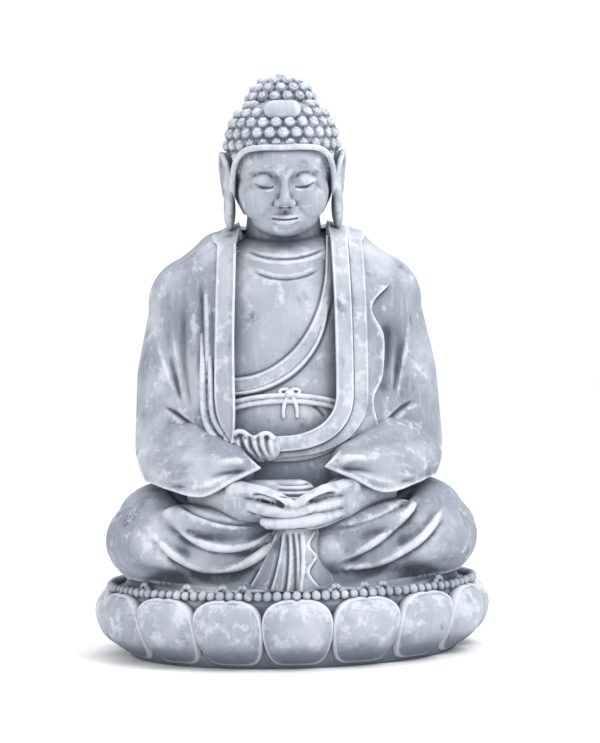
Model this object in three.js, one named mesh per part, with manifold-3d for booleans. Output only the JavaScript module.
// A seated buddha garden statue on an oval lotus base, pressed and cast in sections that are luted together.
// Millimetres, +Z up. The front faces -Y, and the origin is the centre of the base's underside.
import * as THREE from "three";
import { mergeVertices } from "three/addons/utils/BufferGeometryUtils.js";
import Module from "manifold-3d";

const wasm = await Module();
wasm.setup();

// Driving dimensions
const BASE_HALF_WIDTH = 236;
const BASE_ROUNDNESS = 0.85; // depth of the oval base over its width
const DECK_Z = 80; // top of the lotus base, where the figure sits
const WALL = 14; // thickness of the hollow casting
const GAP = 0.3; // luting gap between neighbouring pieces
const PETALS = 16;
const BEADS = 96;
const HEAD_CENTRE = [0, -30, 576];
const SKULL = [64, 70, 72];
const ROD_RADIUS = 6;
const FAR = 300; // beyond the object on every side, for the boxes that cut it

// Colours and finish of the materials
const STONE = { color: 0x9aa2b0, roughness: 0.9, metalness: 0 };
const PALE_STONE = { color: 0xb4b9c6, roughness: 0.9, metalness: 0 };
const CEMENT_BOARD = { color: 0x8a8a86, roughness: 0.95, metalness: 0 };
const STEEL = { color: 0x9c9ea1, roughness: 0.35, metalness: 1 };

const statue = new THREE.Group();

// ---- Solids ----

// A three.js geometry as a solid that can be joined and cut.
function solid(geometry) {
  const bare = geometry.clone();
  bare.deleteAttribute("normal");
  bare.deleteAttribute("uv");
  const merged = mergeVertices(bare, 1e-3);
  const mesh = { numProp: 3, vertProperties: merged.attributes.position.array };
  return new wasm.Manifold(new wasm.Mesh({ ...mesh, triVerts: new Uint32Array(merged.index.array) }));
}

const join = (solids) => solids.reduce((whole, piece) => whole.add(piece));
const cut = (whole, ...tools) => tools.reduce((left, tool) => left.subtract(tool), whole);

// The largest body of a solid, without the crumbs that a cut can leave.
function largest(whole) {
  return whole.decompose().reduce((best, body) => (body.volume() > best.volume() ? body : best));
}

function addPiece(name, whole, look) {
  const mesh = largest(whole).getMesh();
  const geometry = new THREE.BufferGeometry()
    .setAttribute("position", new THREE.BufferAttribute(new Float32Array(mesh.vertProperties), 3))
    .setIndex(new THREE.BufferAttribute(mesh.triVerts, 1));
  geometry.computeVertexNormals();
  const piece = new THREE.Mesh(geometry, new THREE.MeshStandardMaterial(look));
  piece.name = name;
  statue.add(piece);
}

function ball([x, y, z], [rx, ry, rz], { grow = 0, around = 16 } = {}) {
  const geometry = new THREE.SphereGeometry(1, around, around / 2).rotateX(Math.PI / 2);
  return solid(geometry.scale(rx + grow, ry + grow, rz + grow).translate(x, y, z));
}

function box([x0, y0, z0], [x1, y1, z1]) {
  const geometry = new THREE.BoxGeometry(x1 - x0, y1 - y0, z1 - z0);
  return solid(geometry.translate((x0 + x1) / 2, (y0 + y1) / 2, (z0 + z1) / 2));
}

function rod(radius, z0, z1, { x = 0, y = 0, sides = 20 } = {}) {
  const geometry = new THREE.CylinderGeometry(radius, radius, z1 - z0, sides).rotateX(Math.PI / 2);
  return solid(geometry.translate(x, y, (z0 + z1) / 2));
}

// A round-ended limb that tapers from radius r0 at p to radius r1 at q.
function limb(p, q, r0, r1, { grow = 0, sides = 10 } = {}) {
  const start = new THREE.Vector3(...p);
  const run = new THREE.Vector3(...q).sub(start);
  const length = run.length();
  const profile = [];
  for (const share of [0, 0.5, 1]) {
    const angle = (share * Math.PI) / 2;
    profile.push(new THREE.Vector2(Math.sin(angle) * (r0 + grow), -Math.cos(angle) * (r0 + grow)));
  }
  for (const share of [1, 0.5, 0]) {
    const angle = (share * Math.PI) / 2;
    profile.push(new THREE.Vector2(Math.sin(angle) * (r1 + grow), length + Math.cos(angle) * (r1 + grow)));
  }
  const turn = new THREE.Quaternion().setFromUnitVectors(new THREE.Vector3(0, 1, 0), run.normalize());
  const geometry = new THREE.LatheGeometry(profile, sides).applyQuaternion(turn);
  return solid(geometry.translate(...p));
}

// A closed loft through oval sections. Each row is [z, half width, front depth, back depth].
function loft(rows, { grow = 0, sides = 32 } = {}) {
  const geometry = new THREE.CylinderGeometry(1, 1, 1, sides, rows.length - 1);
  const at = geometry.attributes.position;
  for (let i = 0; i < at.count; i++) {
    const level = Math.round((at.getY(i) + 0.5) * (rows.length - 1));
    const [z, halfWidth, front, back] = rows[level];
    const depth = at.getZ(i) > 0 ? front : back;
    const lift = level === 0 ? -grow : level === rows.length - 1 ? grow : 0;
    at.setXYZ(i, at.getX(i) * (halfWidth + grow), -at.getZ(i) * (depth + grow), z + lift);
  }
  return solid(geometry);
}

// A strip of the given width and thickness swept along a curve through points.
function strip(points, width, thickness, steps = 16) {
  const outline = new THREE.Shape();
  outline.absellipse(0, 0, thickness / 2, width / 2, 0, 2 * Math.PI);
  const extrudePath = new THREE.CatmullRomCurve3(points.map((p) => new THREE.Vector3(...p)));
  return solid(new THREE.ExtrudeGeometry(outline, { steps, curveSegments: 4, extrudePath }));
}

// ---- Lotus base ----

const DRUM = [
  [7.5, 66],
  [176, 66],
  [176, 22.3],
  [184, 22.3],
  [184, 0],
  [198, 0],
  [206, 22],
  [211, 50],
  [212, 72],
  [222, 74],
  [222, DECK_Z],
  [7.5, DECK_Z],
  [7.5, 66],
];
const DOWEL_X = 112;
const DOWEL_RADIUS = 5;
const DOWEL_Z = [67, 102];
const RIM_HALF_WIDTH = 219;
const BEAD_RADIUS = 6.8;
const BEAD_NECK_RADIUS = 3;

// A ring turned from a closed profile, then pressed to the oval of the base.
function ovalRing(profile, grow = 0, turns = 40) {
  const points = profile.map(([r, z]) => new THREE.Vector2(r + grow, z));
  const geometry = new THREE.LatheGeometry(points, turns).rotateX(Math.PI / 2);
  return solid(geometry.scale(1, BASE_ROUNDNESS, 1));
}

function lotusDrum() {
  const drum = ovalRing(DRUM);
  const dowels = [-DOWEL_X, DOWEL_X].map((x) => rod(DOWEL_RADIUS + GAP, DOWEL_Z[0] - 7, DECK_Z + 1, { x }));
  addPiece("lotus_drum", cut(drum, ...dowels), STONE);
}

// Angles round the oval that are equally far apart along its edge.
function evenAngles(count) {
  const SAMPLES = 2880;
  const reach = [0];
  for (let i = 1; i <= SAMPLES; i++) {
    const angle = ((i - 0.5) / SAMPLES) * 2 * Math.PI;
    reach.push(reach[i - 1] + Math.hypot(Math.cos(angle), BASE_ROUNDNESS * Math.sin(angle)));
  }
  const angles = [];
  for (let k = 0; k < count; k++) {
    const wanted = (k / count) * reach[SAMPLES];
    angles.push((reach.findIndex((r) => r >= wanted) / SAMPLES) * 2 * Math.PI);
  }
  return angles; // 0 is the middle of the front, and the angles go round towards +X
}

const onOval = (angle, halfWidth) => [
  halfWidth * Math.sin(angle),
  -halfWidth * BASE_ROUNDNESS * Math.cos(angle),
];

const PETAL_HEIGHT = 76;
const PETAL_MIDDLE_Z = 40;
const HALF_PETAL = 42.2;
const PETAL_BULGE = 19;
const PETAL_FULLNESS = 2.6; // 2 gives an ellipse, and more a squarer leaf
const PETAL_NARROWING = 0.14; // share of the width lost towards the foot
const PETAL_TIP_LEAN = 8;
const PETAL_FOOT_TUCK = 26;
const PETAL_FOOT_Z = 1;

// One petal: a plump leaf with a rounded top that leans out and tucks in under the base.
function petal(angle, grow = 0) {
  const geometry = new THREE.SphereGeometry(1, 12, 6).rotateX(Math.PI / 2);
  const at = geometry.attributes.position;
  for (let i = 0; i < at.count; i++) {
    const [x, y, z] = [at.getX(i), at.getY(i), at.getZ(i)];
    const ring = Math.hypot(x, y) || 1;
    const fullness = Math.pow(1 - Math.pow(Math.abs(z), PETAL_FULLNESS), 1 / PETAL_FULLNESS);
    const taper = 1 - PETAL_NARROWING * Math.max(0, -z);
    const lean = -z * z * (PETAL_TIP_LEAN + (z < 0 ? PETAL_FOOT_TUCK : 0));
    const across = (x / ring) * (HALF_PETAL + grow) * fullness * taper;
    const out = (-y / ring) * (PETAL_BULGE + grow) * fullness + lean;
    at.setXYZ(i, across, -out, PETAL_MIDDLE_Z + z * (PETAL_HEIGHT / 2 + grow));
  }
  const [x, y] = onOval(angle, BASE_HALF_WIDTH - PETAL_BULGE);
  const facing = Math.atan2(Math.sin(angle) * BASE_ROUNDNESS, Math.cos(angle));
  return solid(geometry.rotateZ(facing).translate(x, y, 0));
}

// Everything behind the outer face of the drum and above the underside of its rim.
const DRUM_BACKING = [
  [150, -1],
  [198, -1],
  [206, 22],
  [211, 50],
  [212, 71],
  [224, 73],
  [224, 99],
  [150, 99],
  [150, -1],
];

function lotusPetals() {
  const backing = ovalRing(DRUM_BACKING, GAP);
  const ground = box([-FAR, -FAR, -FAR], [FAR, FAR, PETAL_FOOT_Z]);
  const angles = evenAngles(PETALS);
  angles.forEach((angle, k) => {
    const before = petal(angles[(k + PETALS - 1) % PETALS], GAP);
    const shape = cut(petal(angle), backing, ground, before);
    addPiece(`lotus_petal_${String(k + 1).padStart(2, "0")}`, shape, PALE_STONE);
  });
}

// A string of beads in one ring: a torus that swells at each bead and narrows between them.
function beadCourse() {
  const TUBE = 0.1;
  const angles = evenAngles(2 * BEADS);
  const geometry = new THREE.TorusGeometry(1, TUBE, 4, 2 * BEADS);
  const at = geometry.attributes.position;
  for (let i = 0; i < at.count; i++) {
    const step = i % (2 * BEADS + 1);
    const radius = step % 2 ? BEAD_NECK_RADIUS : BEAD_RADIUS;
    const ring = Math.hypot(at.getX(i), at.getY(i));
    const out = ((ring - 1) / TUBE) * radius;
    const [x, y] = onOval(angles[step % (2 * BEADS)] ?? 0, RIM_HALF_WIDTH);
    const reach = (RIM_HALF_WIDTH + out) / RIM_HALF_WIDTH;
    const rise = BEAD_RADIUS + (at.getZ(i) / TUBE) * radius;
    at.setXYZ(i, x * reach, y * reach, DECK_Z + GAP + rise);
  }
  addPiece("bead_course", solid(geometry), PALE_STONE);
}

// Heights of the closing plate and of the fixings on the tie rod
const PLATE_Z = [15, 22];
const PLATE_HALF_WIDTH = 183.4;
const DRAIN_RADIUS = 8;
const DRAINS = [[-90, -70], [90, -70], [-90, 70], [90, 70]];
const ROD_Z = [2, 556];
const NUT_RADIUS = 11; // over the corners
const WASHER_RADIUS = 20;
const FIXINGS = {
  lower_nut: [3.4, 11.4],
  lower_washer: [11.7, 14.7],
  upper_washer: [540.3, 543.3],
  upper_nut: [543.6, 551.6],
};

function baseFixings() {
  const hole = rod(ROD_RADIUS + GAP, 0, ROD_Z[1] + 1);
  const [low, high] = PLATE_Z;
  const inner = ROD_RADIUS + 1.5;
  const outer = PLATE_HALF_WIDTH;
  const outline = [[inner, low], [outer, low], [outer, high], [inner, high], [inner, low]];
  const drains = DRAINS.map(([x, y]) => rod(DRAIN_RADIUS, low - 1, high + 1, { x, y, sides: 12 }));
  addPiece("closing_plate", cut(ovalRing(outline), ...drains), CEMENT_BOARD);
  addPiece("tie_rod", rod(ROD_RADIUS, ...ROD_Z), STEEL);
  for (const [name, [z0, z1]] of Object.entries(FIXINGS)) {
    const blank = name.endsWith("nut") ? rod(NUT_RADIUS, z0, z1, { sides: 6 }) : rod(WASHER_RADIUS, z0, z1);
    addPiece(name, cut(blank, hole), STEEL);
  }
  // The figure's own right is at -X.
  addPiece("right_dowel", rod(DOWEL_RADIUS, ...DOWEL_Z, { x: -DOWEL_X }), STEEL);
  addPiece("left_dowel", rod(DOWEL_RADIUS, ...DOWEL_Z, { x: DOWEL_X }), STEEL);
}

// ---- Figure ----

// The body with its upper arms under the robe, up to the neck.
const BODY = [
  [150, 176, 118, 116],
  [190, 184, 122, 120],
  [253, 188, 124, 118],
  [310, 184, 116, 112],
  [362, 178, 106, 106],
  [419, 168, 96, 98],
  [447, 156, 88, 92],
  [475, 135, 74, 82],
  [495, 106, 60, 70],
  [508, 74, 46, 58],
];
const body = (grow) => loft(BODY, { grow });
const CHEST_SETBACK = 12;
const WINDOW = [
  [-62, 500],
  [-62, 262],
  [-30, 226],
  [20, 222],
  [62, 246],
  [72, 330],
  [62, 500],
];
const WINDOW_MIDDLE_Z = 400;

const WINDOW_DEPTH = 240;

// The opening down the front of the robe, as a prism from well in front of the body to the middle of it.
function robeOpening(shrink = 0) {
  const towards = (value, middle) => value - Math.sign(value - middle) * shrink;
  const corners = WINDOW.map(([x, z]) => new THREE.Vector2(towards(x, 0), towards(z, WINDOW_MIDDLE_Z)));
  const outline = new THREE.Shape(corners);
  const geometry = new THREE.ExtrudeGeometry(outline, { depth: WINDOW_DEPTH, bevelEnabled: false });
  return solid(geometry.rotateX(Math.PI / 2));
}

const KNEE = [150, -42, 134];
const KNEE_RADII = [76, 104, 62];
const BOSS_RADIUS = 14; // the thickening round each dowel
const BOSS_TOP_Z = 124;
const MOUTH_RADIUS = 110; // the opening between the robe's hollow and the lap's
function legs(grow) {
  const masses = [
    ball([0, -22, 124], [150, 150, 62], { grow, around: 20 }),
    ball(KNEE, KNEE_RADII, { grow }),
    ball([-KNEE[0], KNEE[1], KNEE[2]], KNEE_RADII, { grow }),
    limb([-150, -92, 124], [70, -126, 122], 46, 40, { grow, sides: 12 }),
    limb([150, -92, 124], [-70, -126, 122], 46, 40, { grow, sides: 12 }),
    ball([0, 40, 126], [168, 88, 70], { grow }),
  ];
  return join(masses);
}

function crossedLegs() {
  const hollow = join([
    ball([0, -22, 100], [140, 132, 58]),
    ball([0, 40, 104], [150, 70, 60]),
    rod(62, 110, 230),
  ]);
  const under = box([-FAR, -FAR, 0], [FAR, FAR, DECK_Z + GAP]);
  const bosses = [-DOWEL_X, DOWEL_X].map((x) => rod(BOSS_RADIUS, DECK_Z + GAP, BOSS_TOP_Z, { x, sides: 12 }));
  const holes = [-DOWEL_X, DOWEL_X].map((x) => rod(DOWEL_RADIUS + GAP, 70, DOWEL_Z[1] + 2, { x }));
  const shell = join([cut(legs(0), hollow), ...bosses.map((boss) => boss.intersect(legs(-2)))]);
  addPiece("crossed_legs", cut(shell, under, ...holes, beadClearance()), STONE);
}

// The space that the beads take up, and everything outside it.
const beadClearance = () => ovalRing([[211, 60], [240, 60], [240, 96], [211, 96], [211, 60]]);

function neck(grow) {
  return limb([0, 8, 470], [0, -12, 530], 42, 38, { grow, sides: 20 });
}

function robeAndChest() {
  const under = box([-FAR, -FAR, 0], [FAR, FAR, BODY[0][0] + 0.5]);
  const shell = cut(body(0), body(-WALL), robeOpening(), under);
  const mouth = rod(MOUTH_RADIUS, 140, 170);
  addPiece("robe_mantle", cut(shell, legs(GAP), headMass(GAP), mouth), STONE);
  const chest = cut(body(-CHEST_SETBACK), body(-CHEST_SETBACK - WALL)).intersect(robeOpening(2 * GAP));
  addPiece("chest_panel", cut(chest, headMass(GAP), legs(GAP)), STONE);
}

// Height of the robe's front face at a point of the front view, as a depth along -Y.
function frontOfBody(x, z, inset = 0) {
  const upper = BODY.findIndex(([level]) => level > z);
  const [low, high] = [BODY[upper - 1], BODY[upper]];
  const share = (z - low[0]) / (high[0] - low[0]);
  const mix = (k) => low[k] + share * (high[k] - low[k]);
  const across = Math.min(0.98, Math.abs(x) / (mix(1) - inset));
  return -(mix(2) - inset) * Math.sqrt(1 - across * across);
}

const draped = (points, inset = 0) => points.map(([x, z]) => [x, frontOfBody(x, z, inset), z]);

const RIGHT_LAPEL = [[-68, 490], [-72, 430], [-72, 340], [-70, 280], [-64, 252], [-46, 238]];
const LEFT_LAPEL = [[62, 486], [74, 430], [84, 340], [78, 285], [52, 246], [6, 228], [-34, 232]];
const BAND = [[56, 470], [52, 400], [34, 362], [4, 340], [-54, 330]];
const CORD = [[-56, 306], [-10, 316], [30, 314], [60, 302]];
const KNOT = [-6, 315];
const KNOT_RADIUS = 10;
const TAIL_LENGTH = 26;
const LAPEL_THICKNESS = 22;
const RIGHT_LAPEL_WIDTH = 26;
const LEFT_LAPEL_WIDTH = 34;

const lapelStrips = (grow = 0) => [
  strip(draped(RIGHT_LAPEL), RIGHT_LAPEL_WIDTH + grow, LAPEL_THICKNESS + grow),
  strip(draped(LEFT_LAPEL), LEFT_LAPEL_WIDTH + grow, LAPEL_THICKNESS + grow),
];

function robeTrim() {
  const surface = body(GAP);
  const chest = body(-CHEST_SETBACK + GAP);
  const opening = robeOpening(1);
  const lapels = lapelStrips();
  const right = cut(lapels[0], surface, legs(GAP), headMass(GAP));
  addPiece("right_lapel", right, PALE_STONE);
  addPiece("left_lapel", cut(lapels[1], surface, legs(GAP), headMass(GAP), largest(right)), PALE_STONE);
  const band = strip(draped(BAND, CHEST_SETBACK), 22, 14).intersect(opening);
  addPiece("under_robe_band", cut(band, chest, headMass(GAP), ...lapels), PALE_STONE);
  const cord = (grow) => strip(draped(CORD, CHEST_SETBACK), 12 + 2 * grow, 12 + 2 * grow);
  addPiece("waist_cord", cut(cord(0).intersect(opening), chest, band, ...lapels), PALE_STONE);
  addPiece("bow_knot", cut(bow(), chest, band, cord(GAP)), PALE_STONE);
}

// A knot over the waist cord with two short tails that hang from it.
function bow() {
  const [x, z] = KNOT;
  const middle = [x, frontOfBody(x, z, CHEST_SETBACK), z];
  const tails = [-14, 6].map((shift) => {
    const low = z - TAIL_LENGTH;
    const end = [x + shift, frontOfBody(x + shift, low, CHEST_SETBACK) - 1, low];
    return limb(middle, end, 5, 4, { sides: 8 });
  });
  return join([ball(middle, [KNOT_RADIUS, KNOT_RADIUS, KNOT_RADIUS], { around: 12 }), ...tails]);
}

// ---- Hands and sleeves ----

const HAND_Y = -150;
const FINGER_PITCH = 13;

// One hand, palm up, with its fingers laid towards the other side. side is -1 for the figure's right hand.
function hand(side, z, grow) {
  const y = HAND_Y;
  const parts = [
    limb([side * 92, y + 40, z + 24], [side * 56, y, z + 8], 24, 22, { grow }),
    ball([side * 40, y, z + 2], [34, 30, 14], { grow, around: 14 }),
  ];
  for (let finger = 0; finger < 4; finger++) {
    const depth = y - 18 + finger * FINGER_PITCH;
    parts.push(limb([side * 30, depth, z], [-side * 30, depth + 2, z - 1], 8, 6.4, { grow, sides: 6 }));
  }
  parts.push(limb([side * 50, y - 18, z + 18], [side * 5, y - 22, z + 22], 9, 7, { grow, sides: 8 }));
  return join(parts);
}

const HAND_Z = { right: 196, left: 180 };

function handsAndSleeves() {
  const rightHand = (grow) => hand(-1, HAND_Z.right, grow);
  const leftHand = (grow) => hand(1, HAND_Z.left, grow);
  const seat = [legs(GAP), body(GAP)];
  addPiece("right_hand", cut(rightHand(0), ...seat), PALE_STONE);
  addPiece("left_hand", cut(leftHand(0), ...seat, rightHand(GAP)), PALE_STONE);
  [-1, 1].forEach((side) => {
    const drape = join([
      limb([side * 150, -56, 236], [side * 84, -128, 216], 50, 34, { sides: 16 }),
      ball([side * 122, -104, 204], [58, 50, 26], { around: 16 }),
    ]);
    const name = side < 0 ? "right_sleeve" : "left_sleeve";
    const beside = [...seat, rightHand(GAP), leftHand(GAP), ...lapelStrips(2 * GAP)];
    addPiece(name, cut(drape, ...beside), STONE);
  });
}

function frontPleats() {
  const geometry = new THREE.CylinderGeometry(26, 44, 62, 12, 3).rotateX(Math.PI / 2);
  const pleats = solid(geometry.scale(1, 0.5, 1).translate(0, -158, 124));
  const hands = [hand(-1, HAND_Z.right, GAP), hand(1, HAND_Z.left, GAP)];
  const under = box([-FAR, -FAR, 0], [FAR, FAR, DECK_Z + 6]);
  addPiece("front_pleats", cut(pleats, legs(GAP), under, beadClearance(), ...hands), STONE);
}

// ---- Head ----

const HAIR_GROW = 9;
const CURL_RADIUS = 9;
const HAIRLINE_Z = 604;
const CROWN_Z = 648;
const CROWN_RADIUS = 42;
const NECK_FOOT_Z = 462; // the neck is open here, towards the hollow of the body
const HAIR_FOOT_Z = 520;

function headMass(grow) {
  const [x, y, z] = HEAD_CENTRE;
  return join([
    ball(HEAD_CENTRE, SKULL, { grow, around: 24 }),
    ball([x, y - 14, z - 34], [50, 50, 54], { grow, around: 20 }),
    ball([x, y - 52, z - 70], [18, 14, 12], { grow, around: 12 }),
    neck(grow),
  ]);
}

function head() {
  const [x, y, z] = HEAD_CENTRE;
  const nose = limb([x, y - 66, z + 4], [x, y - 72, z - 26], 5, 9, { sides: 8 });
  const cavity = ball([x, y, z + 12], [44, 48, 48], { around: 16 });
  const floorOfCavity = rod(30, 540, 580, { y: 0, sides: 16 });
  const bore = rod(ROD_RADIUS + 2, 400, 580);
  const below = box([-FAR, -FAR, 0], [FAR, FAR, NECK_FOOT_Z]);
  const mass = join([headMass(0), nose]);
  addPiece("head", cut(mass, cavity, floorOfCavity, bore, below, urna(GAP)), PALE_STONE);
}

// The small round mark between and above the brows.
function urna(grow) {
  const place = [0, HEAD_CENTRE[1] - SKULL[1] + 3, HEAD_CENTRE[2] + 22];
  return ball(place, [4, 4, 4], { grow, around: 10 });
}

// Middles of curls in rows round a dome, from the hairline up.
function curlPlaces([x, y, z], [rx, ry, rz], rows, spacing, from, to) {
  const places = [];
  for (let row = 0; row < rows; row++) {
    const rise = THREE.MathUtils.degToRad(from + ((to - from) * row) / Math.max(1, rows - 1));
    const count = Math.max(1, Math.round((2 * Math.PI * rx * Math.cos(rise)) / spacing));
    for (let k = 0; k < count; k++) {
      const turn = ((k + (row % 2) / 2) / count) * 2 * Math.PI;
      const side = Math.cos(rise);
      places.push([x + rx * side * Math.sin(turn), y - ry * side * Math.cos(turn), z + rz * Math.sin(rise)]);
    }
  }
  return places;
}

const curl = (place) => solid(new THREE.OctahedronGeometry(CURL_RADIUS).translate(...place));
const jewel = (grow) => ball([0, -84, 648], [19, 12, 11], { grow, around: 14 });

function hair() {
  const [x, y, z] = HEAD_CENTRE;
  const dome = SKULL.map((r) => r + HAIR_GROW);
  const centre = [x, y + 4, z + 4];
  const isHair = ([, py, pz]) => pz > HAIRLINE_Z - 4 || py > y + 6;
  const curls = curlPlaces(centre, dome, 5, 22, -28, 48).filter(isHair).map(curl);
  const cap = ball(centre, dome, { around: 24 });
  const face = box([-48, -FAR, 400], [48, y - 8, HAIRLINE_Z]);
  const cheeks = box([-FAR, -FAR, 400], [FAR, y + 2, 540]);
  const nape = box([-FAR, -FAR, 400], [FAR, FAR, HAIR_FOOT_Z]);
  const capShape = cut(join([cap, ...curls]), headMass(GAP), face, cheeks, nape, neck(GAP));
  const above = box([-FAR, -FAR, CROWN_Z], [FAR, FAR, 800]);
  const below = box([-FAR, -FAR, 400], [FAR, FAR, CROWN_Z + GAP]);
  const knob = [CROWN_RADIUS, CROWN_RADIUS, CROWN_RADIUS];
  const crown = join([
    ball([0, y + 8, CROWN_Z + 4], [CROWN_RADIUS, CROWN_RADIUS, 40], { around: 16 }),
    ...curlPlaces([0, y + 8, CROWN_Z + 2], knob, 2, 21, 16, 54).map(curl),
    curl([0, y + 8, CROWN_Z + CROWN_RADIUS + 1]),
  ]);
  addPiece("hair_cap", cut(capShape, above, jewel(GAP), ears(GAP), body(GAP)), STONE);
  addPiece("crown_knob", cut(crown, headMass(GAP), below, jewel(GAP)), STONE);
  addPiece("crown_jewel", cut(jewel(0), headMass(GAP)), PALE_STONE);
}

function ear(side, grow) {
  return join([
    ball([side * 70, -26, 580], [10, 20, 30], { grow, around: 14 }),
    ball([side * 68, -28, 536], [9, 13, 28], { grow, around: 14 }),
  ]);
}
const ears = (grow) => join([ear(-1, grow), ear(1, grow)]);

function earPieces() {
  addPiece("right_ear", cut(ear(-1, 0), headMass(GAP), body(GAP)), PALE_STONE);
  addPiece("left_ear", cut(ear(1, 0), headMass(GAP), body(GAP)), PALE_STONE);
  addPiece("urna", urna(0), PALE_STONE);
}

lotusDrum();
lotusPetals();
beadCourse();
baseFixings();
crossedLegs();
robeAndChest();
robeTrim();
handsAndSleeves();
frontPleats();
head();
hair();
earPieces();

export default statue;
